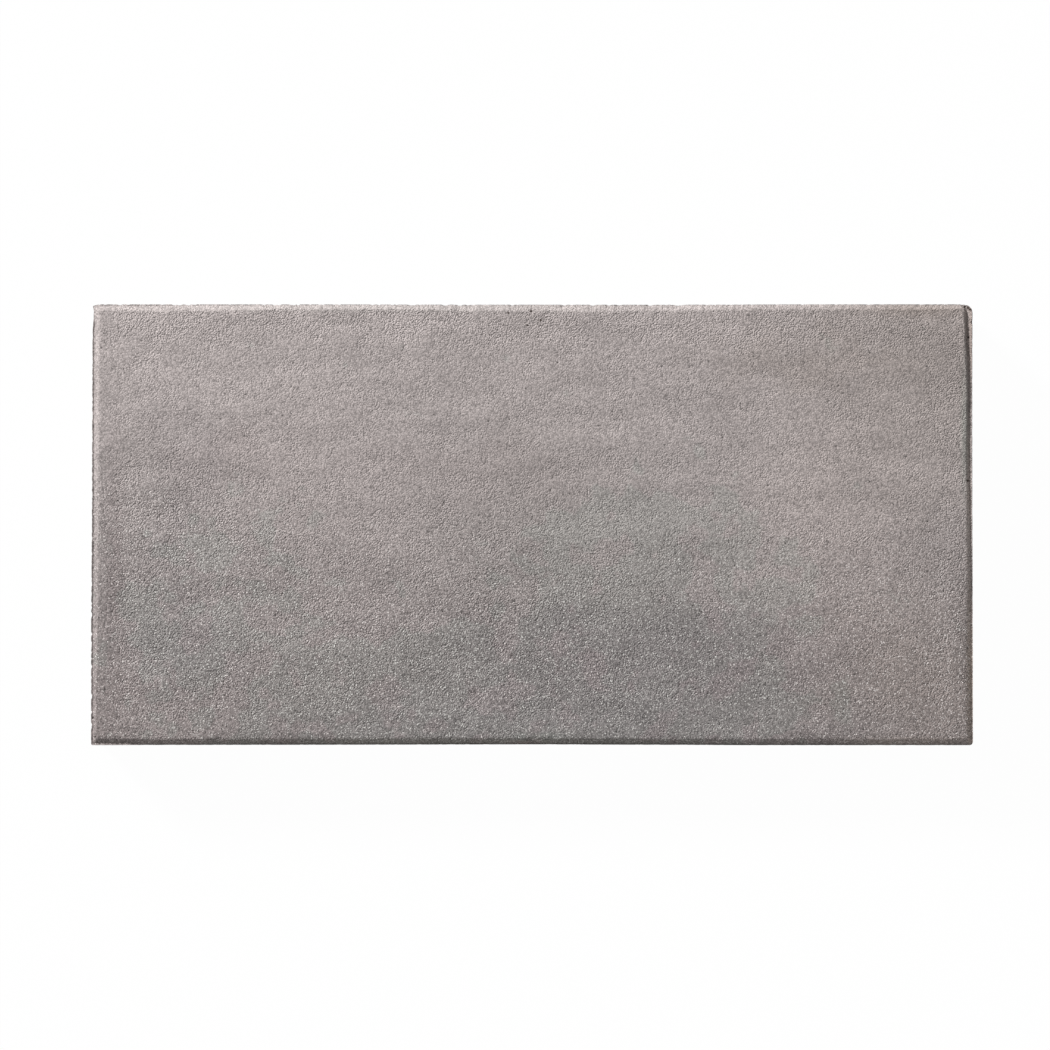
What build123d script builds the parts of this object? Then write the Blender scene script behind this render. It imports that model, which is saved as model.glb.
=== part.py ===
"""Concrete paving slab, pressed in one piece.

A plain rectangular block carries a slightly smaller raised face. The bevelled press head leaves
the raised face with a chamfer on all four sides and a narrow flat lip outside it. Three corners
are sound and the one at +X +Y is worn round.

Units are millimetres. The origin is the centre of the bed, +X runs along the slab, +Z is up.
"""

import os

from build123d import *

# Overall size
slab_length = 600.0
slab_width = 300.0
slab_thickness = 50.0

# Plan radii of the corners
corner_radius = 1.5
worn_corner_radius = 4.5

# Pressed edge around the walking face
lip_width = 1.2
chamfer_width = 3.8
chamfer_depth = 3.0
face_edge_radius = 2.0

lip_height = slab_thickness - chamfer_depth
face_inset = lip_width + chamfer_width


def towards_worn_corner(point):
    """Sorting key that grows towards the +X +Y corner."""
    return point.X + point.Y


def plan_outline(inset):
    """Draws the slab's plan, set in from the sides, in the sketch that is open."""
    Rectangle(slab_length - 2 * inset, slab_width - 2 * inset)
    *sound_corners, worn_corner = vertices().sort_by(towards_worn_corner)
    fillet(sound_corners, radius=corner_radius)
    fillet(worn_corner, radius=worn_corner_radius)


with BuildPart() as paving_slab:
    # Block, from the bed up to the lip
    with BuildSketch(Plane.XY):
        plan_outline(inset=0)
    extrude(amount=lip_height)

    # Raised face, narrowing along the chamfer
    with BuildSketch(Plane.XY.offset(lip_height)):
        plan_outline(inset=lip_width)
    with BuildSketch(Plane.XY.offset(slab_thickness)):
        plan_outline(inset=face_inset)
    loft(ruled=True)

    # Rolled edge where the chamfer meets the walking face
    fillet(edges().group_by(Axis.Z)[-1], radius=face_edge_radius)

paving_slab.part.label = "paving_slab"

os.makedirs("parts", exist_ok=True)
export_step(paving_slab.part, "parts/paving_slab.step")
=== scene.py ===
"""Looks of the concrete paving slab: its grained, worn mesh, its concrete, and a white studio.

Lengths are metres in the slab's own frame, or millimetres where a comment says so. The walking face is seen
from straight above, with +Y up.
"""

import math

import bpy
import numpy as np
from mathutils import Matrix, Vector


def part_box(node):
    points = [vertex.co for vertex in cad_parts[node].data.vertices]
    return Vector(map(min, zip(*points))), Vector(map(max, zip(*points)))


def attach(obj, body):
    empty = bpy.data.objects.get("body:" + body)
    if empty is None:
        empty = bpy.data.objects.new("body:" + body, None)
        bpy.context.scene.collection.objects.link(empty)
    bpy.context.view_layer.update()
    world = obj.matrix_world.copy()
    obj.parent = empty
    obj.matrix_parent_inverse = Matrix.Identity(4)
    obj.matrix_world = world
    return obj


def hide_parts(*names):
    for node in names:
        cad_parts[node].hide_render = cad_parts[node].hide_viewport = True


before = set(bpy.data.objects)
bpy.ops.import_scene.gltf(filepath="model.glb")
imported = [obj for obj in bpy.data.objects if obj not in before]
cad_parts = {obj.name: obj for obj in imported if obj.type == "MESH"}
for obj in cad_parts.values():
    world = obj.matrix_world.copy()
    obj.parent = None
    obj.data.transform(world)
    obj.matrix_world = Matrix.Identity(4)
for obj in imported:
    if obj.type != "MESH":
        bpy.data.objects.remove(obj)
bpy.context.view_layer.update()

MM = 0.001
SEED = 41

# Slab, from the frame
slab_low, slab_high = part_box("paving_slab")
SLAB_LENGTH = slab_high.x - slab_low.x
SLAB_WIDTH = slab_high.y - slab_low.y
SLAB_TOP = slab_high.z

# Flat lip at the foot of the chamfer
CHAMFER_DEPTH = 3.0 * MM
LIP_HEIGHT = SLAB_TOP - CHAMFER_DEPTH

# Sides in the order they are walked, each with its direction
SIDES = {"front": (1, 0), "right": (0, 1), "back": (-1, 0), "left": (0, -1)}

# Corners, each at the start of its side
CORNER_RADII = (1.1 * MM, 2.2 * MM, 6.0 * MM, 1.5 * MM)
TIGHTEST_RADIUS = 0.8 * MM

# Pressed edge. What changes along a side is given as pairs of the share walked and the value there.
# Lengths in these tables are millimetres.
CHAMFER_WIDTH = {
    "front": ((0, 3.4), (1, 3.8)),
    "right": ((0, 3.6), (0.25, 4.2), (0.45, 3.1), (0.56, 2.4), (0.82, 2.2), (1, 2.9)),
    "back": ((0, 3.0), (0.2, 3.6), (0.3, 3.1), (0.43, 4.6), (0.68, 2.9), (0.8, 2.9), (0.93, 4.1), (1, 3.2)),
    "left": ((0, 4.0), (0.2, 3.6), (0.35, 3.2), (0.58, 3.8), (0.7, 3.5), (0.85, 2.6), (1, 2.3)),
}

# How softly the chamfer rolls into the walking face
ROLL_DEPTH = {
    "front": ((0, 0.8), (1, 0.8)),
    "right": ((0, 1.2), (0.5, 1.0), (0.8, 0.4), (1, 0.3)),
    "back": ((0, 0.3), (1, 0.3)),
    "left": ((0, 0.4), (1, 0.6)),
}

# Lip outside the chamfer, and how steeply the press turned it up (or down, below nought)
LIP_WIDTH = {
    "front": ((0, 1.2), (0.04, 1.2), (0.07, 0.8), (1, 0.7)),
    "right": ((0, 0.6), (0.4, 0.7), (0.55, 1.7), (0.68, 2.3), (0.83, 1.95), (0.87, 2.1), (0.92, 2.95),
              (1, 3.4)),
    "back": ((0, 0.3), (0.1, 0.1), (0.6, 0.1), (0.85, 0.6), (0.95, 1.0), (1, 0.6)),
    "left": ((0, 0.2), (0.02, 0.2), (0.04, 1.2), (0.6, 1.3), (1, 1.2)),
}
LIP_TURN = {
    "front": ((0, 0.5), (0.04, 0.5), (0.07, -1.3), (1, -1.3)),
    "right": ((0, 0.7), (0.4, 0.6), (0.6, 0.5), (0.8, 0.35), (1, 0.6)),
    "back": ((0, 0.0), (1, 0.0)),
    "left": ((0, 0.0), (0.02, 0.0), (0.04, 0.4), (0.4, 0.28), (0.68, 0.33), (0.8, 0.2), (1, 0.18)),
}

# How far the outline falls short of a true rectangle, and how deep its notches are
BOW = {
    "front": ((0, 0.08), (0.3, 0.32), (0.5, 0.55), (0.68, 0.2), (0.75, 0.0), (1, 0.0)),
    "right": ((0, 0.0), (0.4, 0.2), (0.55, 0.45), (0.8, 0.5), (1, 0.45)),
    "back": ((0, 0.0), (0.2, 0.05), (0.35, 0.3), (0.55, 0.25), (0.75, 0.05), (1, 0.0)),
    "left": ((0, 2.1), (0.03, 1.7), (0.06, 1.0), (0.25, 0.78), (0.5, 0.56), (0.7, 0.07), (1, 0.0)),
}
RAGGEDNESS = {
    "front": ((0, 0.1), (1, 0.1)),
    "right": ((0, 0.1), (1, 0.15)),
    "back": ((0, 0.45), (0.3, 0.6), (1, 0.65)),
    "left": ((0, 0.2), (0.6, 0.35), (0.75, 0.7), (1, 0.65)),
}

# Painted shade low on the chamfer, on the rim, and in dashes along the rim
CHAMFER_PAINTED_SHADE = {
    "front": ((0, 0.0), (1, 0.0)),
    "right": ((0, 0.0), (0.65, 0.0), (0.8, 0.5), (1, 0.35)),
    "back": ((0, 0.0), (1, 0.0)),
    "left": ((0, 0.0), (1, 0.0)),
}
RIM_PAINTED_SHADE = {
    "front": ((0, 0.0), (0.05, 0.0), (0.08, 0.3), (0.3, 0.8), (0.8, 0.8), (1, 0.2)),
    "right": ((0, 0.0), (1, 0.0)),
    "back": ((0, 0.0), (1, 0.0)),
    "left": ((0, 0.0), (1, 0.0)),
}
RIM_SHADE_DASHES = {
    "front": ((0, 0.2), (1, 0.2)),
    "right": ((0, 0.0), (1, 0.3)),
    "back": ((0, 0.5), (0.1, 0.3), (0.7, 0.3), (0.85, 0.6), (1, 0.5)),
    "left": ((0, 0.0), (0.02, 0.0), (0.04, 0.3), (0.6, 0.3), (0.75, 0.2), (1, 0.2)),
}

# How many points on either side a value along the edge is blended over
LONG_BLEND = 6
SHORT_BLEND = 2

# Notches: how strongly the fine ones count, and how far the rim drops for a notch's depth
FINE_NOTCHES = 1.3
NOTCH_DROP = 0.5

# Dashes of painted shade, from another place in the notches' noise, and the painted shade that spreads to
# the chamfer's foot
DASH_SHIFT = 1.0
DASH_WEIGHT = 0.6
DASH_ONSET = (0.1, 0.4)
DASH_DARKNESS = 0.7
FOOT_DARKNESS = 0.5

# Chamfer: its rows of points as shares of its width, which past 1 lie on the walking face, how much it
# wavers, and the share below which the painted shade low on the chamfer lies
CHAMFER_SHARES = (1.7, 1.35, 1.12, 0.95, 0.7, 0.35)
CHAMFER_WAVER = 0.3 * MM
FINE_WAVER = 0.25 * MM
WAVER_REACH = 0.7
LOW_ON_CHAMFER = 0.5

# Lip: its least width, the place of its crest as a share of its width, how far crest and rim lie below its
# flat height, and the rim's share of the crest's rise
LEAST_LIP = 0.08 * MM
CREST_PLACE = 0.15
CREST_DROP = 0.1 * MM
RIM_DROP = 0.2 * MM
RIM_RISE = 0.8

# Rows of points down the sides, and how deep the mould dragged at them
SIDE_HEIGHTS = (45 * MM, 34 * MM, 23 * MM, 12 * MM)
SIDE_DRAG = 0.1 * MM

# Edge of the bed, and its chips: how deep, how coarse and fine lumps add up, and the sum they start at
BED_ARRIS = 0.6 * MM
BED_CHIP = 2.2 * MM
COARSE_CHIPS = 1.5
FINE_CHIPS = 0.6
CHIP_ONSET = 0.8

# Pits along the edge: place and radius in millimetres, depth as a share of the radius, and how low they go
PITS = (
    ((294.4, 148.2), 0.9),
    ((296.6, 147.6), 1.1),
    ((298.0, 146.4), 1.0),
    ((299.6, 137.8), 1.4),
    ((297.0, 127.5), 0.8),
    ((296.4, 30.0), 0.9),
    ((-298.6, -131.2), 0.7),
    ((-297.0, -144.0), 0.7),
    ((-0.6, 145.2), 1.0),
    ((5.9, 139.0), 0.8),
    ((-3.2, 135.6), 0.7),
    ((-16.0, 144.0), 0.8),
)
PIT_DROP = 0.8
PITTED_ABOVE = SLAB_TOP - 2 * CHAMFER_DEPTH

# Walking face: its grid, and how far it lies below the flat
FACE_CELL = 1.7 * MM
FACE_INSET = 9.8 * MM
EDGE_POINTS_PER_CELL = 2
FACE_DROP = 0.2 * MM
SWELL_HEIGHT = 0.06 * MM
RIPPLE_HEIGHT = 0.04 * MM
GRIT_HEIGHT = 0.045 * MM

# Rows and columns in a noise's lattice
LATTICE = 1024


def smoothstep(low, high, value):
    """0 below low, 1 above high and smooth between them."""
    share = np.clip((value - low) / (high - low), 0.0, 1.0)
    return share * share * (3 - 2 * share)


def soft_minimum(first, second, depth):
    """The lower of two heights, rounded over where they cross."""
    share = np.clip(0.5 + 0.5 * (second - first) / depth, 0.0, 1.0)
    return second * (1 - share) + first * share - depth * share * (1 - share)


class Lumps:
    """Seeded smooth noise in the plane, from -1 to 1, with lumps of about the given size."""

    def __init__(self, size, seed):
        self.size = size
        self.lattice = np.random.default_rng(seed).uniform(-1, 1, (LATTICE, LATTICE))

    def __call__(self, across, along):
        column = np.asarray(across) / self.size + LATTICE // 2
        row = np.asarray(along) / self.size + LATTICE // 2
        left = np.floor(column).astype(int)
        low = np.floor(row).astype(int)
        u = smoothstep(0, 1, column - left)
        v = smoothstep(0, 1, row - low)
        lower = self.corner(low, left) * (1 - u) + self.corner(low, left + 1) * u
        upper = self.corner(low + 1, left) * (1 - u) + self.corner(low + 1, left + 1) * u
        return lower * (1 - v) + upper * v

    def corner(self, row, column):
        """The lattice's values at whole rows and columns, repeated past its end."""
        return self.lattice[row % LATTICE, column % LATTICE]


swell = Lumps(28 * MM, SEED)
ripple = Lumps(9 * MM, SEED + 1)
grit = Lumps(2.8 * MM, SEED + 2)
ragged = Lumps(3.2 * MM, SEED + 3)
fine_ragged = Lumps(1.4 * MM, SEED + 4)


def relief(x, y):
    """How far the pressed face lies below the flat."""
    return FACE_DROP + SWELL_HEIGHT * swell(x, y) + RIPPLE_HEIGHT * ripple(x, y) + GRIT_HEIGHT * grit(x, y)


# Slab mesh


def side_run(length, start_radius, end_radius, count):
    """Points along one side of the plan, from the middle of one corner to the middle of the next.

    Each is a distance along the side and a distance in from it.
    """
    start_arc = start_radius * math.pi / 4
    end_arc = end_radius * math.pi / 4
    straight = length - start_radius - end_radius
    travelled = np.arange(count) / count * (start_arc + straight + end_arc)
    turn_in = np.clip(math.pi / 4 - travelled / start_radius, 0, None)
    turn_out = np.clip((travelled - start_arc - straight) / end_radius, 0, None)
    along = start_radius + np.clip(travelled - start_arc, 0, straight)
    along = along - start_radius * np.sin(turn_in) + end_radius * np.sin(turn_out)
    inward = start_radius * (1 - np.cos(turn_in)) + end_radius * (1 - np.cos(turn_out))
    return along, inward


class Ring:
    """Closed rows of points round the slab, with the same number of points on a side in every row."""

    def __init__(self, points_long, points_wide):
        self.counts = {"front": points_long, "right": points_wide, "back": points_long, "left": points_wide}
        self.total = sum(self.counts.values())
        self.outline = self.plan(0.0)

    def values(self, table):
        """A table of values along the sides as one value for each point."""
        rows = []
        for side, count in self.counts.items():
            shares, values = zip(*table[side])
            rows.append(np.interp(np.arange(count) / count, shares, values))
        return np.concatenate(rows)

    def plan(self, inset):
        """The plan's outline, each point set in from its side by its own inset."""
        inset = np.broadcast_to(inset, self.total)
        starts = np.cumsum((0, *self.counts.values()))[:-1]
        # Inset of the side before each corner and of the side after it
        before = inset[starts - 1]
        after = inset[starts]
        radii = np.maximum(np.array(CORNER_RADII) - np.minimum(before, after), TIGHTEST_RADIUS)
        points = []
        for number, (side, count) in enumerate(self.counts.items()):
            step_x, step_y = SIDES[side]
            length, width = (SLAB_LENGTH, SLAB_WIDTH) if step_x else (SLAB_WIDTH, SLAB_LENGTH)
            following = (number + 1) % len(SIDES)
            along, inward = side_run(length, radii[number], radii[following], count)
            run = before[number] - length / 2 + along * (1 - (before[number] + after[following]) / length)
            reach = inward + inset[starts[number]:starts[number] + count] - width / 2
            points.append(np.column_stack((step_x * run - step_y * reach, step_y * run + step_x * reach)))
        return np.vstack(points)


def soften(values, reach):
    """Values round a ring, each blended with its neighbours."""
    window = np.hanning(2 * reach + 3)[1:-1]
    wrapped = np.concatenate((values[-reach:], values, values[:reach]))
    return np.convolve(wrapped, window / window.sum(), mode="valid")


def painted_rim_shade(ring):
    """Painted shade on the rim: a film along it, and dashes here and there."""
    x, y = ring.outline.T
    lumps = ragged(y + DASH_SHIFT, x) + fine_ragged(y + DASH_SHIFT, x)
    dashes = smoothstep(*DASH_ONSET, DASH_WEIGHT * lumps) * ring.values(RIM_SHADE_DASHES)
    return np.maximum(soften(ring.values(RIM_PAINTED_SHADE), SHORT_BLEND), DASH_DARKNESS * dashes)


def edge_rows(ring):
    """Rows of points from the walking face out over the edge and down to the bed.

    Each is its plan, its heights and its painted shade.
    """
    x, y = ring.outline.T
    bow = soften(ring.values(BOW), LONG_BLEND) * MM
    lip = ring.values(LIP_WIDTH) * MM
    rise = soften(ring.values(LIP_TURN) * lip, SHORT_BLEND)
    chamfer = ring.values(CHAMFER_WIDTH) * MM
    roll = soften(ring.values(ROLL_DEPTH), LONG_BLEND) * MM
    notches = np.clip(ragged(x, y) + FINE_NOTCHES * fine_ragged(x, y), 0, 1)
    nibble = notches * ring.values(RAGGEDNESS) * MM
    foot = bow + np.maximum(lip, nibble + LEAST_LIP)
    waver = CHAMFER_WAVER * ripple(x, y) + FINE_WAVER * ragged(y, x)
    low_shade = ring.values(CHAMFER_PAINTED_SHADE)
    rim = painted_rim_shade(ring)
    clean = np.zeros(ring.total)

    rows = []
    for share in CHAMFER_SHARES:
        wavering = max(0.0, 1 - abs(share - 1) / WAVER_REACH) * waver
        plan = ring.plan(foot + share * chamfer + wavering)
        height = soft_minimum(SLAB_TOP, LIP_HEIGHT + share * CHAMFER_DEPTH, roll)
        rows.append((plan, height - relief(*plan.T), low_shade if share < LOW_ON_CHAMFER else clean))
    plan = ring.plan(foot)
    rows.append((plan, LIP_HEIGHT - relief(*plan.T), FOOT_DARKNESS * rim))
    crest = LIP_HEIGHT - CREST_DROP + rise - NOTCH_DROP * nibble
    rows.append((ring.plan(bow + nibble + CREST_PLACE * lip), crest, rim))
    edge = LIP_HEIGHT - RIM_DROP + RIM_RISE * rise - NOTCH_DROP * nibble
    rows.append((ring.plan(bow + nibble), edge, rim))

    # The notches run down the sides, as marks of the mould
    for height in SIDE_HEIGHTS:
        uneven = SIDE_DRAG * (1 + ragged(x + height, y - height))
        rows.append((ring.plan(bow + np.maximum(nibble, uneven)), np.full(ring.total, height), clean))

    # The edge of the bed is chipped here and there
    chipped = COARSE_CHIPS * ripple(x, y) + FINE_CHIPS * ragged(x, y) - CHIP_ONSET
    arris = BED_ARRIS + BED_CHIP * np.clip(chipped, 0, 1)
    rows.append((ring.plan(bow + nibble), arris, clean))
    rows.append((ring.plan(bow + nibble + arris), np.zeros(ring.total), clean))
    return rows


def walking_face(cells_long, cells_wide):
    """Points of a grid over the walking face, its faces, and the numbers of the points round its border."""
    face_x = np.linspace(-0.5, 0.5, cells_long + 1) * (SLAB_LENGTH - 2 * FACE_INSET)
    face_y = np.linspace(-0.5, 0.5, cells_wide + 1) * (SLAB_WIDTH - 2 * FACE_INSET)
    x, y = (axis.ravel() for axis in np.meshgrid(face_x, face_y))
    points = np.column_stack((x, y, SLAB_TOP - relief(x, y)))
    index = np.arange(len(x)).reshape(cells_wide + 1, cells_long + 1)
    corners = (index[:-1, :-1], index[:-1, 1:], index[1:, 1:], index[1:, :-1])
    faces = np.column_stack([corner.ravel() for corner in corners]).tolist()
    border = np.concatenate((index[0, :-1], index[:-1, -1], index[-1, :0:-1], index[:0:-1, 0]))
    return points, faces, border


def join_rows(inner, outer):
    """Faces between two rows of points. The outer row can have a few points for each one of the inner."""
    finer = len(outer) // len(inner)
    between = np.roll(outer, -1).reshape(-1, finer)
    return np.column_stack((inner, outer[::finer], between, np.roll(inner, -1))).tolist()


def press_pits(points):
    """Lowers the points at the pits, but none far down the sides."""
    for place, radius in PITS:
        apart = np.hypot(*(points[:, :2] - np.array(place) * MM).T)
        depth = np.exp(-(apart / (radius * MM)) ** 2) * (points[:, 2] > PITTED_ABOVE)
        points[:, 2] -= PIT_DROP * radius * MM * depth


def mark_crisp_edges(mesh, row_of_point):
    """Keeps the foot of the chamfer, the crest of the lip and the rim crisp."""
    foot = len(CHAMFER_SHARES)
    ends = np.empty(2 * len(mesh.edges), dtype=np.int32)
    mesh.edges.foreach_get("vertices", ends)
    rows = row_of_point[ends.reshape(-1, 2)]
    crisp = (rows[:, 0] == rows[:, 1]) & np.isin(rows[:, 0], (foot, foot + 1, foot + 2))
    mesh.attributes.new("sharp_edge", "BOOLEAN", "EDGE").data.foreach_set("value", crisp)


def new_object(name, data):
    """A new object in the scene."""
    made = bpy.data.objects.new(name, data)
    bpy.context.scene.collection.objects.link(made)
    return made


def make_slab():
    """The slab as one closed mesh, with its painted shade as a value on each point."""
    cells_long = round((SLAB_LENGTH - 2 * FACE_INSET) / FACE_CELL)
    cells_wide = round((SLAB_WIDTH - 2 * FACE_INSET) / FACE_CELL)
    face_points, faces, inner = walking_face(cells_long, cells_wide)
    blocks = [face_points]
    painted_shade = [np.zeros(len(face_points))]
    row_of_point = [np.full(len(face_points), -1)]

    # Edge, with finer points than the face, and the bed
    ring = Ring(EDGE_POINTS_PER_CELL * cells_long, EDGE_POINTS_PER_CELL * cells_wide)
    for number, (plan, height, row_shade) in enumerate(edge_rows(ring)):
        outer = len(face_points) + number * ring.total + np.arange(ring.total)
        faces.extend(join_rows(inner, outer))
        blocks.append(np.column_stack((plan, height)))
        painted_shade.append(row_shade)
        row_of_point.append(np.full(ring.total, number))
        inner = outer
    faces.append(inner[::-1].tolist())
    points = np.vstack(blocks)
    press_pits(points)

    mesh = bpy.data.meshes.new("slab")
    mesh.from_pydata(points.tolist(), [], faces)
    mesh.shade_smooth()
    bed = mesh.polygons[len(mesh.polygons) - 1]
    bed.use_smooth = False
    # Painted shade on the rim, at the chamfer's foot and low on the right chamfer, kept as a value on each
    # point
    values = np.concatenate(painted_shade).astype(np.float32)
    mesh.attributes.new("painted_shade", "FLOAT", "POINT").data.foreach_set("value", values)
    mark_crisp_edges(mesh, np.concatenate(row_of_point))
    return new_object("slab", mesh)


# Shader nodes

# Where most values of a noise lie
MOST_NOISE = (0.3, 0.7)
NOISE_MIDDLE = (0.5, 0.5, 0.5)

SRGB_OFFSET = 0.055
SRGB_POWER = 2.4


def empty_tree(owner):
    """The node tree of a material or world, with nothing in it."""
    owner.use_nodes = True
    owner.node_tree.nodes.clear()
    return owner.node_tree


def add(tree, kind, inputs=None, **settings):
    """A new shader node. An input is a plain value or another node's output."""
    made = tree.nodes.new(kind)
    for name, value in settings.items():
        setattr(made, name, value)
    for name, value in (inputs or {}).items():
        if isinstance(value, bpy.types.NodeSocket):
            tree.links.new(value, made.inputs[name])
        else:
            made.inputs[name].default_value = value
    return made


def linear(red, green, blue):
    """A colour given as it looks on screen, from 0 to 255, as the shader takes it."""
    shares = (channel / 255 for channel in (red, green, blue))
    return tuple(((share + SRGB_OFFSET) / (1 + SRGB_OFFSET)) ** SRGB_POWER for share in shares) + (1.0,)


def calculate(tree, operation, first, second):
    """Two values put together."""
    return add(tree, "ShaderNodeMath", {0: first, 1: second}, operation=operation).outputs["Value"]


def combine(tree, operation, first, second):
    """Two vectors put together."""
    return add(tree, "ShaderNodeVectorMath", {0: first, 1: second}, operation=operation).outputs["Vector"]


def mix(tree, factor, colour, other, way="MIX"):
    """A colour mixed with another, as far as the factor says."""
    return add(tree, "ShaderNodeMixRGB", {"Fac": factor, "Color1": colour, "Color2": other},
               blend_type=way).outputs["Color"]


def tint(tree, factor, colour, by):
    """A colour multiplied by another, as far as the factor says."""
    return mix(tree, factor, colour, by, "MULTIPLY")


def ramp(tree, value, low, high, start=0.0, end=1.0, easing="SMOOTHSTEP"):
    """A value from low to high, eased from start to end."""
    return add(tree, "ShaderNodeMapRange",
               {"Value": value, "From Min": low, "From Max": high, "To Min": start, "To Max": end},
               interpolation_type=easing).outputs["Result"]


def stretched(tree, where, lumps_per_metre):
    """Places scaled so that a noise of scale 1 has so many lumps in a metre of each axis."""
    return add(tree, "ShaderNodeMapping", {"Vector": where, "Scale": lumps_per_metre}).outputs["Vector"]


def noise(tree, where, scale, detail, roughness):
    """The outputs of a soft noise with so many lumps in a metre, and finer ones among them."""
    return add(tree, "ShaderNodeTexNoise",
               {"Vector": where, "Scale": scale, "Detail": detail, "Roughness": roughness}).outputs


def cells(tree, where, per_metre):
    """The outputs of a pattern of cells with so many in a metre."""
    return add(tree, "ShaderNodeTexVoronoi", {"Vector": where, "Scale": per_metre}).outputs


def chances(tree, pattern):
    """Three chances for each cell of a pattern, as red, green and blue."""
    return add(tree, "ShaderNodeSeparateColor", {"Color": pattern["Color"]}).outputs


def oval(tree, where, middle, half_size, depth, edge=1.0):
    """1 in the middle of an oval on the walking face, easing to 0 at its rim and at a depth below the face.

    The edge is the share of the oval that the easing takes. Sizes are millimetres.
    """
    place = add(tree, "ShaderNodeMapping",
                {"Vector": where, "Location": (middle[0] * MM, middle[1] * MM, SLAB_TOP),
                 "Scale": (half_size[0] * MM, half_size[1] * MM, depth * MM)}, vector_type="TEXTURE")
    inside = add(tree, "ShaderNodeTexGradient", {"Vector": place.outputs["Vector"]},
                 gradient_type="SPHERICAL")
    return ramp(tree, inside.outputs["Fac"], 0.0, edge)


# Concrete. A noise is given as its scale, its detail and its roughness.

# Even colour of the mix, on screen, and how it darkens towards the front
CEMENT = (165.3, 156.8, 154.8)
FRONT_WASH = (0.73, 0.72, 0.722, 1.0)
FRONT_WASH_SPAN = (70 * MM, -140 * MM)

# Stains on the walking face: middle and half size in millimetres, and what they do to the colour
STAINS = {
    "pale upper left": ((-300, 135), (330, 120), (1.09, 1.09, 1.09)),
    "pale band left": ((-160, 85), (110, 45), (1.015, 1.015, 1.015)),
    "pale top": ((-60, 148), (360, 26), (1.09, 1.09, 1.09)),
    "brown upper right": ((295, 120), (205, 190), (0.865, 0.855, 0.835)),
    "brown streak right": ((185, 110), (120, 26), (0.955, 0.945, 0.93)),
    "mauve left": ((-215, 40), (70, 30), (0.95, 0.94, 0.94)),
    "mauve middle": ((-30, 38), (120, 36), (0.94, 0.93, 0.93)),
    "grey middle": ((10, 0), (140, 120), (0.95, 0.955, 0.95)),
    "pale right": ((200, -25), (110, 140), (1.13, 1.115, 1.105)),
    "pale left": ((-145, -15), (120, 130), (1.05, 1.04, 1.04)),
    "dull left end": ((-238, 10), (45, 130), (0.955, 0.955, 0.962)),
    "charcoal": ((70, -90), (200, 58), (0.89, 0.88, 0.905)),
    "teal front": ((30, -140), (300, 45), (0.972, 0.985, 0.998)),
    "pale front": ((0, -132), (280, 26), (1.02, 1.02, 1.025)),
    "pale front left": ((-285, -118), (140, 70), (1.085, 1.07, 1.07)),
    "blue front left": ((-235, -85), (60, 50), (0.99, 0.997, 1.01)),
    "brown front right": ((270, -105), (110, 90), (1.055, 1.035, 1.005)),
}

# Stains that follow the edge closely, and painted light on the shaded right and front chamfers
EDGE_STAINS = {
    "mauve beside left chamfer": ((-284, -30), (11, 145), (0.895, 0.875, 0.88)),
    "brown beside back chamfer": ((262, 147), (60, 10), (0.89, 0.868, 0.84)),
    "grey beside left of front chamfer": ((-150, -143.3), (110, 3.5), (0.84, 0.845, 0.845)),
    "grey beside right of front chamfer": ((210, -143.3), (130, 3.5), (0.86, 0.86, 0.86)),
    "green beside front chamfer": ((4, -144), (30, 5), (0.95, 1.02, 0.99)),
    "green beside right chamfer": ((294, 65), (4.5, 75), (0.84, 0.91, 0.885)),
    "pale back chamfer": ((-90, 148), (330, 6), (1.035, 1.055, 1.047)),
    "beige upper right lip": ((299, 125), (4, 40), (1.12, 1.05, 1.0)),
    "brown beside right chamfer": ((292, -85), (8, 85), (0.84, 0.84, 0.84)),
    # Painted light: these three lighten the shaded right and front chamfers
    "painted light on right chamfer": ((297, 0), (3.2, 110), (1.3, 1.27, 1.22)),
    "painted light on lower right chamfer": ((298.6, -105), (5, 90), (1.42, 1.35, 1.22)),
    "painted light on right of front chamfer": ((255, -147.5), (95, 5), (1.3, 1.27, 1.22)),
    "brown front chamfer": ((-40, -147.7), (300, 4), (1.12, 1.12, 1.06)),
    "red front rim": ((-8, -149), (16, 3), (1.1, 0.95, 0.95)),
}

# How far below the walking face stains and wear reach, in millimetres
STAIN_DEPTH = 60
EDGE_STAIN_DEPTH = 10

# How stains waver, and soft streaks along the slab
STAIN_NOISE = (24.0, 5.0, 0.65)
STAIN_SHIFT = (100 * MM, 100 * MM, 0)
STREAKS_PER_METRE = (20, 70, 50)
STREAK_NOISE = (1.0, 5.0, 0.5)
STREAK_SPAN = (0.2, 0.8)
STREAK_TONE = (0.86, 1.14)


def stained_cement(tree, where):
    """The cement's colour, from the even grey of the mix to the stains."""
    centred = combine(tree, "SUBTRACT", noise(tree, where, *STAIN_NOISE)["Color"], NOISE_MIDDLE)
    wavering = combine(tree, "ADD", where, combine(tree, "MULTIPLY", centred, STAIN_SHIFT))
    across = add(tree, "ShaderNodeSeparateXYZ", {"Vector": wavering}).outputs["Y"]
    colour = tint(tree, ramp(tree, across, *FRONT_WASH_SPAN), linear(*CEMENT), FRONT_WASH)
    for middle, half_size, change in STAINS.values():
        colour = tint(tree, oval(tree, wavering, middle, half_size, STAIN_DEPTH), colour, (*change, 1.0))
    for middle, half_size, change in EDGE_STAINS.values():
        colour = tint(tree, oval(tree, where, middle, half_size, EDGE_STAIN_DEPTH), colour, (*change, 1.0))
    streaks = noise(tree, stretched(tree, where, STREAKS_PER_METRE), *STREAK_NOISE)["Fac"]
    return tint(tree, 1.0, colour, ramp(tree, streaks, *STREAK_SPAN, *STREAK_TONE, "LINEAR"))


# Where the sand is bare: towards the front, and in an oval at the left end that is given in millimetres
BARE_SPAN = (70 * MM, -65 * MM)
LEFT_END_MIDDLE = (-290, -50)
LEFT_END_SIZE = (230, 120)
LEFT_END_EDGE = 0.5

# Bare sand is coarse, less so at the right
RIGHT_SPAN = (20 * MM, 160 * MM)
RIGHT_COARSENESS = 0.15

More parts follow.
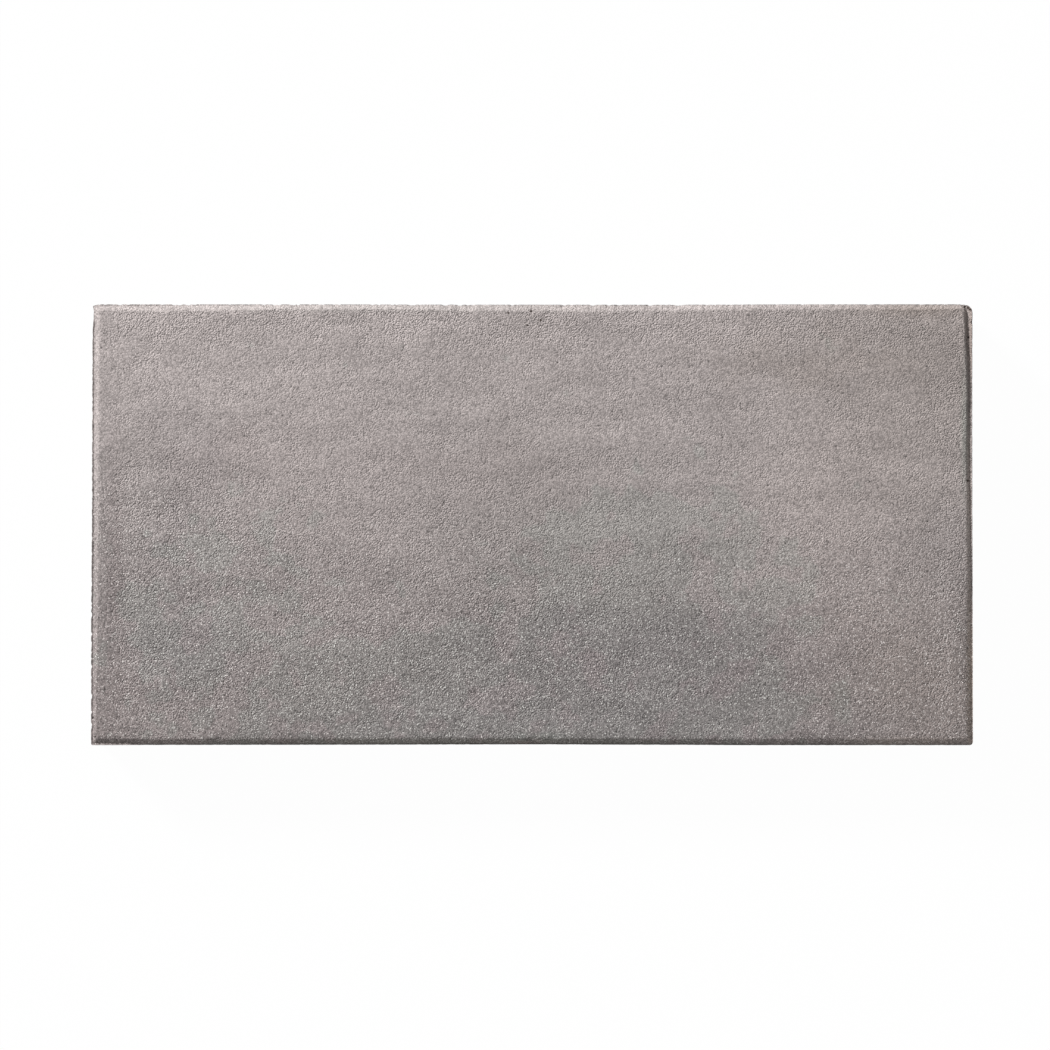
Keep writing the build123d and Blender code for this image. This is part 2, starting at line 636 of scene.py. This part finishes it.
# Strips along the edges: the axis across, where each starts and is full in millimetres, and how coarse it is
COARSE_STRIPS = {
    "beside back edge": ("Y", 118, 132, 1.05),
    "beside right edge": ("X", 262, 285, 0.85),
    "back chamfer": ("Y", 143, 147, 0.3),
    "beside front edge": ("Y", -110, -147, 0.0),
    "beside left edge": ("X", -272, -297, -0.6),
}


def wear(tree, where):
    """How bare the sand is and how coarse the face is, from place to place."""
    place = add(tree, "ShaderNodeSeparateXYZ", {"Vector": where}).outputs
    front = ramp(tree, place["Y"], *BARE_SPAN)
    left_end = oval(tree, where, LEFT_END_MIDDLE, LEFT_END_SIZE, STAIN_DEPTH, LEFT_END_EDGE)
    bare = calculate(tree, "MAXIMUM", front, left_end)
    to_right = ramp(tree, place["X"], *RIGHT_SPAN, 1.0, RIGHT_COARSENESS)
    coarse = calculate(tree, "MAXIMUM", calculate(tree, "MULTIPLY", front, to_right), left_end)
    for axis, start, full, coarseness in COARSE_STRIPS.values():
        coarse = ramp(tree, place[axis], start * MM, full * MM, coarse, coarseness)
    return bare, coarse


# Fall from the top of a grain to its foot in millimetres, and how uneven it is in small patches
EVEN_FALL = 0.38
COARSE_FALL = 0.35
FALL_NOISE = (60.0, 3.0, 0.6)
FALL_UNEVENNESS = (0.4, 1.6)


def grain_fall(tree, where, coarse):
    """How far the grains fall from top to foot, from place to place."""
    fall = calculate(tree, "ADD", calculate(tree, "MULTIPLY", coarse, COARSE_FALL), EVEN_FALL)
    patches = noise(tree, where, *FALL_NOISE)["Fac"]
    return calculate(tree, "MULTIPLY", fall, ramp(tree, patches, *MOST_NOISE, *FALL_UNEVENNESS))


# Tone of a grain, painted shade in the gap round it and where one is missing, and a painted lift for rough
# cement
GRAINS_PER_METRE = 1000.0
GRAIN_TONE = (0.75, 1.25)
GAP_SPAN = (0.35, 0.75)
GAP_SHADE = (1.15, 0.85)
MISSING_CHANCE = (0.975, 0.995)
MISSING_GRAIN_SHADE = 0.5
PAINTED_LIFT_PER_FALL = 0.26

# Bare sand, some of it pale
SAND_PER_METRE = 1700.0
SAND_TONE = (-0.25, 0.0)
PALE_SAND = (214, 207, 204)
PALE_CHANCE = (0.90, 0.98)
PALE_PER_COARSENESS = 0.03


def grained(tree, where, colour, grains, fall, bare, coarse):
    """The cement's colour broken up into grains, with finer sand where it is bare."""
    grain_chances = chances(tree, grains)
    tone = ramp(tree, grain_chances["Red"], 0.0, 1.0, *GRAIN_TONE, "LINEAR")
    # Painted shade in the gaps between grains, lighter at their middles, and in the holes where a grain is
    # missing
    gap_shade = ramp(tree, grains["Distance"], *GAP_SPAN, *GAP_SHADE)
    missing = ramp(tree, grain_chances["Blue"], *MISSING_CHANCE, 1.0, MISSING_GRAIN_SHADE)
    tone = calculate(tree, "MULTIPLY", calculate(tree, "MULTIPLY", tone, gap_shade), missing)

    sand_chances = chances(tree, cells(tree, where, SAND_PER_METRE))
    sand_tone = ramp(tree, sand_chances["Red"], 0.0, 1.0, *SAND_TONE, "LINEAR")
    tone = calculate(tree, "ADD", tone, calculate(tree, "MULTIPLY", sand_tone, bare))
    # Rough cement lies in its own shade, so its tone is painted lighter to make up for it
    extra_fall = calculate(tree, "SUBTRACT", fall, EVEN_FALL)
    tone = calculate(tree, "ADD", tone, calculate(tree, "MULTIPLY", extra_fall, PAINTED_LIFT_PER_FALL))
    colour = tint(tree, 1.0, colour, tone)

    pale = calculate(tree, "MULTIPLY", coarse, PALE_PER_COARSENESS)
    pale = ramp(tree, calculate(tree, "ADD", sand_chances["Green"], pale), *PALE_CHANCE)
    return mix(tree, calculate(tree, "MULTIPLY", pale, bare), colour, linear(*PALE_SAND))


# Green cement, mostly in ovals: middle and half size in millimetres, share that eases out, and strength
GREEN_OVALS = {
    "middle": ((85, -50), (150, 110), 0.5, 1.0),
    "front": ((-20, -130), (300, 95), 0.5, 1.0),
    "left": ((-205, -65), (145, 125), 0.7, 0.75),
}
GREEN_NOISE = (48.0, 4.0, 0.5)
GREEN_SPREAD = 0.29
GREEN_SPAN = (0.68, 0.76)
GREEN = (0.955, 1.005, 0.99, 1.0)


def greened(tree, where, colour):
    """The colour, which leans to green in patches, most of them in the green ovals."""
    green = 0.0
    for middle, half_size, edge, strength in GREEN_OVALS.values():
        spot = calculate(tree, "MULTIPLY", oval(tree, where, middle, half_size, STAIN_DEPTH, edge), strength)
        green = calculate(tree, "MAXIMUM", green, spot)
    patches = noise(tree, where, *GREEN_NOISE)["Fac"]
    patches = calculate(tree, "ADD", patches, calculate(tree, "MULTIPLY", green, GREEN_SPREAD))
    return tint(tree, ramp(tree, patches, *GREEN_SPAN), colour, GREEN)


# Sides: where they start, upright drag marks from the mould, and open pores, with painted shade in them
SIDE_SPAN = (LIP_HEIGHT - 1.0 * MM, LIP_HEIGHT - 2.5 * MM)
DRAGS_PER_METRE = (160, 160, 8)
DRAG_NOISE = (1.0, 3.0, 0.5)
DRAG_TONE = (0.86, 1.1)
PORES_PER_METRE = 230.0
PORE_SPAN = (0.24, 0.12)
PORE_CHANCE = (0.6, 0.75)
PORE_DEPTH = 0.7 * MM
PORE_SHADE = 0.6


def dragged(tree, where, colour, side):
    """The colour, with upright drag marks on the sides."""
    drag = noise(tree, stretched(tree, where, DRAGS_PER_METRE), *DRAG_NOISE)["Fac"]
    return tint(tree, side, colour, ramp(tree, drag, *MOST_NOISE, *DRAG_TONE))


def open_pores(tree, where, side):
    """1 in the pores of the sides."""
    pattern = cells(tree, where, PORES_PER_METRE)
    hollow = ramp(tree, pattern["Distance"], *PORE_SPAN)
    chosen = ramp(tree, chances(tree, pattern)["Red"], *PORE_CHANCE)
    return calculate(tree, "MULTIPLY", calculate(tree, "MULTIPLY", hollow, chosen), side)


# Colour of the painted shade on the edge and in the pits and pores, and how far it reaches round a pit, as a
# share of the radius, and below the face in millimetres
PAINTED_SHADE_COLOUR = (0.15, 0.13, 0.12, 1.0)
PIT_REACH = 1.3
PIT_DEPTH = 14
PIT_EDGE = 0.5


def with_painted_shade(tree, where, colour, pores):
    """The colour, with painted shade on the edge and in the pits and pores."""
    # Painted shade: the dark colour goes on the rim, in the pits and in the pores
    painted_shade = add(tree, "ShaderNodeAttribute", attribute_name="painted_shade").outputs["Fac"]
    for middle, radius in PITS:
        reach = PIT_REACH * radius
        pit = oval(tree, where, middle, (reach, reach), PIT_DEPTH, PIT_EDGE)
        painted_shade = calculate(tree, "MAXIMUM", painted_shade, pit)
    painted_shade = calculate(tree, "MAXIMUM", painted_shade, calculate(tree, "MULTIPLY", pores, PORE_SHADE))
    return tint(tree, painted_shade, colour, PAINTED_SHADE_COLOUR)


ROUGHNESS_NOISE = (300.0, 3.0, 0.5)
ROUGHNESS = (0.82, 0.97)
SPECULAR = 0.3


def concrete():
    """Pressed concrete: sand grains in mauve grey cement, with stains and pores, painted shade in its
    hollows and along its rim, and painted light on shaded chamfers.
    """
    material = bpy.data.materials.new("concrete")
    tree = empty_tree(material)
    where = add(tree, "ShaderNodeTexCoord").outputs["Object"]
    height = add(tree, "ShaderNodeSeparateXYZ", {"Vector": where}).outputs["Z"]
    side = ramp(tree, height, *SIDE_SPAN)
    bare, coarse = wear(tree, where)
    fall = grain_fall(tree, where, coarse)
    grains = cells(tree, where, GRAINS_PER_METRE)
    pores = open_pores(tree, where, side)

    colour = stained_cement(tree, where)
    colour = grained(tree, where, colour, grains, fall, bare, coarse)
    colour = greened(tree, where, colour)
    colour = dragged(tree, where, colour, side)
    colour = with_painted_shade(tree, where, colour, pores)

    # Relief too fine for the mesh
    slope = calculate(tree, "MULTIPLY", fall, -MM)
    mound = calculate(tree, "MULTIPLY", grains["Distance"], slope)
    mound = calculate(tree, "ADD", mound, calculate(tree, "MULTIPLY", pores, -PORE_DEPTH))
    bump = add(tree, "ShaderNodeBump", {"Strength": 1.0, "Distance": 1.0, "Height": mound})

    dullness = noise(tree, where, *ROUGHNESS_NOISE)["Fac"]
    roughness = ramp(tree, dullness, *MOST_NOISE, *ROUGHNESS)
    surface = add(tree, "ShaderNodeBsdfPrincipled",
                  {"Base Color": colour, "Roughness": roughness, "Specular IOR Level": SPECULAR,
                   "Normal": bump.outputs["Normal"]})
    add(tree, "ShaderNodeOutputMaterial", {"Surface": surface.outputs["BSDF"]})
    return material


# Studio


def seen_directly(tree):
    """1 for rays from the camera, mirrors and glass, and 0 for light that falls on the slab."""
    path = add(tree, "ShaderNodeLightPath").outputs
    seen = calculate(tree, "MAXIMUM", path["Is Camera Ray"], path["Is Glossy Ray"])
    return calculate(tree, "MAXIMUM", seen, path["Is Transmission Ray"])


FLOOR_HALF = 6.0
FLOOR_DROP = 0.1 * MM
FLOOR_WHITENESS = 0.98
FLOOR_COLOUR = (0.85, 0.85, 0.85, 1.0)


def floor_white():
    """White that shows only a trace of the slab's shadow."""
    material = bpy.data.materials.new("floor")
    tree = empty_tree(material)
    whiteness = calculate(tree, "MULTIPLY", seen_directly(tree), FLOOR_WHITENESS)
    paint = add(tree, "ShaderNodeBsdfDiffuse", {"Color": FLOOR_COLOUR}).outputs["BSDF"]
    glow = add(tree, "ShaderNodeEmission", {"Strength": 1.0}).outputs["Emission"]
    mixed = add(tree, "ShaderNodeMixShader", {0: whiteness, 1: paint, 2: glow})
    add(tree, "ShaderNodeOutputMaterial", {"Surface": mixed.outputs["Shader"]})
    return material


def make_floor():
    """A level floor just below the slab."""
    half = FLOOR_HALF
    corners = [(-half, -half, 0), (half, -half, 0), (half, half, 0), (-half, half, 0)]
    mesh = bpy.data.meshes.new("floor")
    mesh.from_pydata(corners, [], [(0, 1, 2, 3)])
    mesh.materials.append(floor_white())
    floor = new_object("floor", mesh)
    floor.location.z = -FLOOR_DROP


LAMP_AZIMUTH = math.radians(136)
LAMP_ELEVATION = math.radians(27)
LAMP_DISTANCE = 10.0
LAMP_SIZE = 2.2
LAMP_LEVEL = 0.66
FILL_LEVEL = 0.34
FILL_COLOUR = (1.0, 1.0, 1.0, 1.0)


def make_light():
    """A soft lamp low at the upper left, and an even fill from all round."""
    lamp = bpy.data.lights.new("lamp", "AREA")
    lamp.shape = "DISK"
    lamp.size = LAMP_SIZE
    # Power that gives the level face LAMP_LEVEL times the light at which a colour renders as written
    lamp.energy = LAMP_LEVEL * math.pi * math.pi * LAMP_DISTANCE ** 2 / math.sin(LAMP_ELEVATION)
    holder = new_object("lamp", lamp)
    level = LAMP_DISTANCE * math.cos(LAMP_ELEVATION)
    holder.location = (level * math.cos(LAMP_AZIMUTH), level * math.sin(LAMP_AZIMUTH),
                       LAMP_DISTANCE * math.sin(LAMP_ELEVATION) + SLAB_TOP)
    holder.rotation_euler = (-holder.location).to_track_quat("-Z", "Y").to_euler()

    world = bpy.data.worlds.new("studio")
    tree = empty_tree(world)
    strength = ramp(tree, seen_directly(tree), 0.0, 1.0, FILL_LEVEL, 1.0, "LINEAR")
    background = add(tree, "ShaderNodeBackground", {"Color": FILL_COLOUR, "Strength": strength})
    add(tree, "ShaderNodeOutputWorld", {"Surface": background.outputs["Background"]})
    bpy.context.scene.world = world


FRAME_PIXELS = 1050
SLAB_PIXELS = 882.0
SLAB_RIGHT_OF_CENTRE = 4.75 * MM
SLAB_ABOVE_CENTRE = 0.15 * MM
CAMERA_DISTANCE = 3.0


def make_camera():
    """A long lens straight above, with the slab as large in the frame as in the photograph."""
    camera = bpy.data.cameras.new("camera")
    view_width = SLAB_LENGTH * FRAME_PIXELS / SLAB_PIXELS
    camera.lens = camera.sensor_width * CAMERA_DISTANCE / view_width
    holder = new_object("camera", camera)
    holder.location = (-SLAB_RIGHT_OF_CENTRE, -SLAB_ABOVE_CENTRE, LIP_HEIGHT + CAMERA_DISTANCE)
    bpy.context.scene.camera = holder


slab = make_slab()
slab.data.materials.append(concrete())
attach(slab, "root")
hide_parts("paving_slab")
make_floor()
make_light()
make_camera()
bpy.context.scene.view_settings.view_transform = "Standard"
